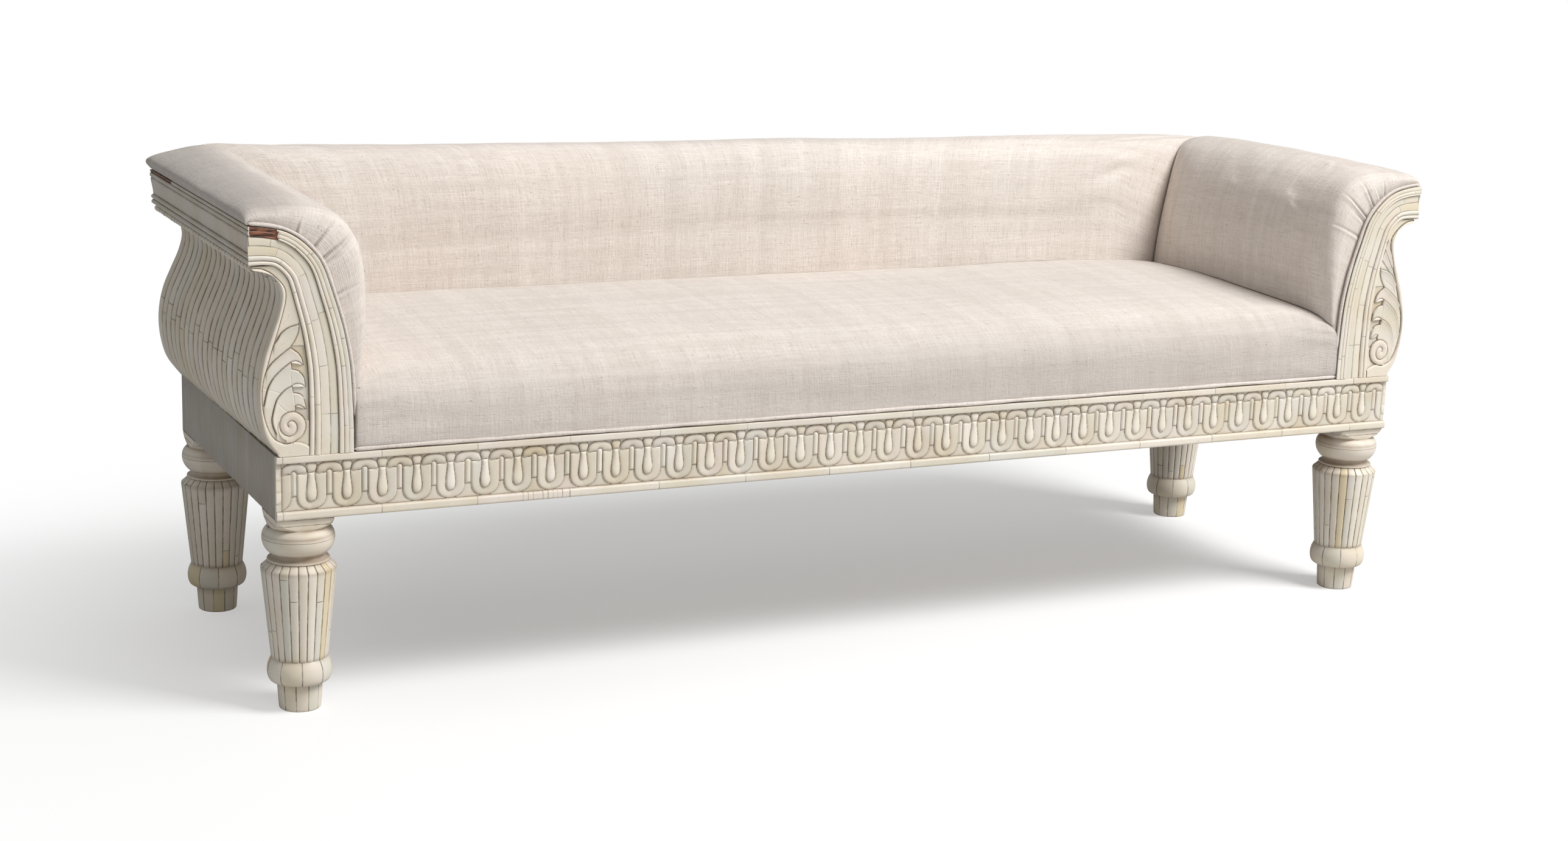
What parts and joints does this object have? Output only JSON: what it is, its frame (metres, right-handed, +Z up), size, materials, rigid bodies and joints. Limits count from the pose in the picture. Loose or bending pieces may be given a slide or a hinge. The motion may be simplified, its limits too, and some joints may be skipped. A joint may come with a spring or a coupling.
{
  "type": "recamier sofa",
  "caption": "Long low upholstered sofa with scrolled arms and a low back on turned legs, its frame faced with carved and reeded bone strips.",
  "frame": {"origin": "on the floor, at the middle of the bounding box's base", "axes": "+X along the length, to the right as seen from the front; +Y from the front to the back; +Z up"},
  "size_m": [1.9843, 0.6403, 0.7338],
  "materials": {
    "bone": "worn bone veneer and carving with a low sheen, glued over wood",
    "wood": "bare red-brown hardwood",
    "linen": "coarse plain-woven undyed linen with slubs",
    "canvas": "plain jute webbing and canvas"
  },
  "bodies": {
    "root": {"rear_rail": "wood", "front_rail": "wood", "end_rail_right": "wood", "end_rail_left": "wood", "rear_leg_right": "bone", "rear_leg_left": "bone", "front_leg_right": "bone", "front_leg_left": "bone", "rear_corner_brace_right": "wood", "rear_corner_brace_left": "wood", "front_corner_brace_right": "wood", "front_corner_brace_left": "wood", "seat_bearer_1": "wood", "seat_bearer_2": "wood", "seat_bearer_3": "wood", "seat_webbing": "canvas", "seat_canvas": "canvas", "front_frieze": "bone", "front_top_fillet": "bone", "front_lower_fillet": "bone", "end_rail_bone_right": "bone", "end_rail_bone_left": "bone", "rear_rail_bone": "bone", "arm_front_post_right": "wood", "arm_front_post_left": "wood", "arm_rear_post_right": "wood", "arm_rear_post_left": "wood", "back_upright_right": "wood", "back_upright_left": "wood", "arm_top_rail_right": "wood", "arm_top_rail_left": "wood", "back_top_rail": "wood", "arm_tacking_rail_right": "wood", "arm_tacking_rail_left": "wood", "back_tacking_rail": "wood", "arm_canvas_right": "canvas", "arm_canvas_left": "canvas", "back_canvas": "canvas", "arm_outer_panel_right": "bone", "arm_outer_panel_left": "bone", "back_outer_panel": "bone", "arm_cornice_right": "bone", "arm_cornice_left": "bone", "back_cornice": "bone", "arm_bead_strip_right": "bone", "arm_bead_strip_left": "bone", "back_bead_strip": "bone", "arm_front_moulding_right": "bone", "arm_front_moulding_left": "bone", "arm_leaf_plate_right": "bone", "arm_leaf_plate_left": "bone", "seat_pad": "linen", "arm_pad_right": "linen", "arm_pad_left": "linen", "back_pad": "linen", "arm_welt_right": "linen", "arm_welt_left": "linen", "seat_welt": "linen"}
  },
  "joints": []
}
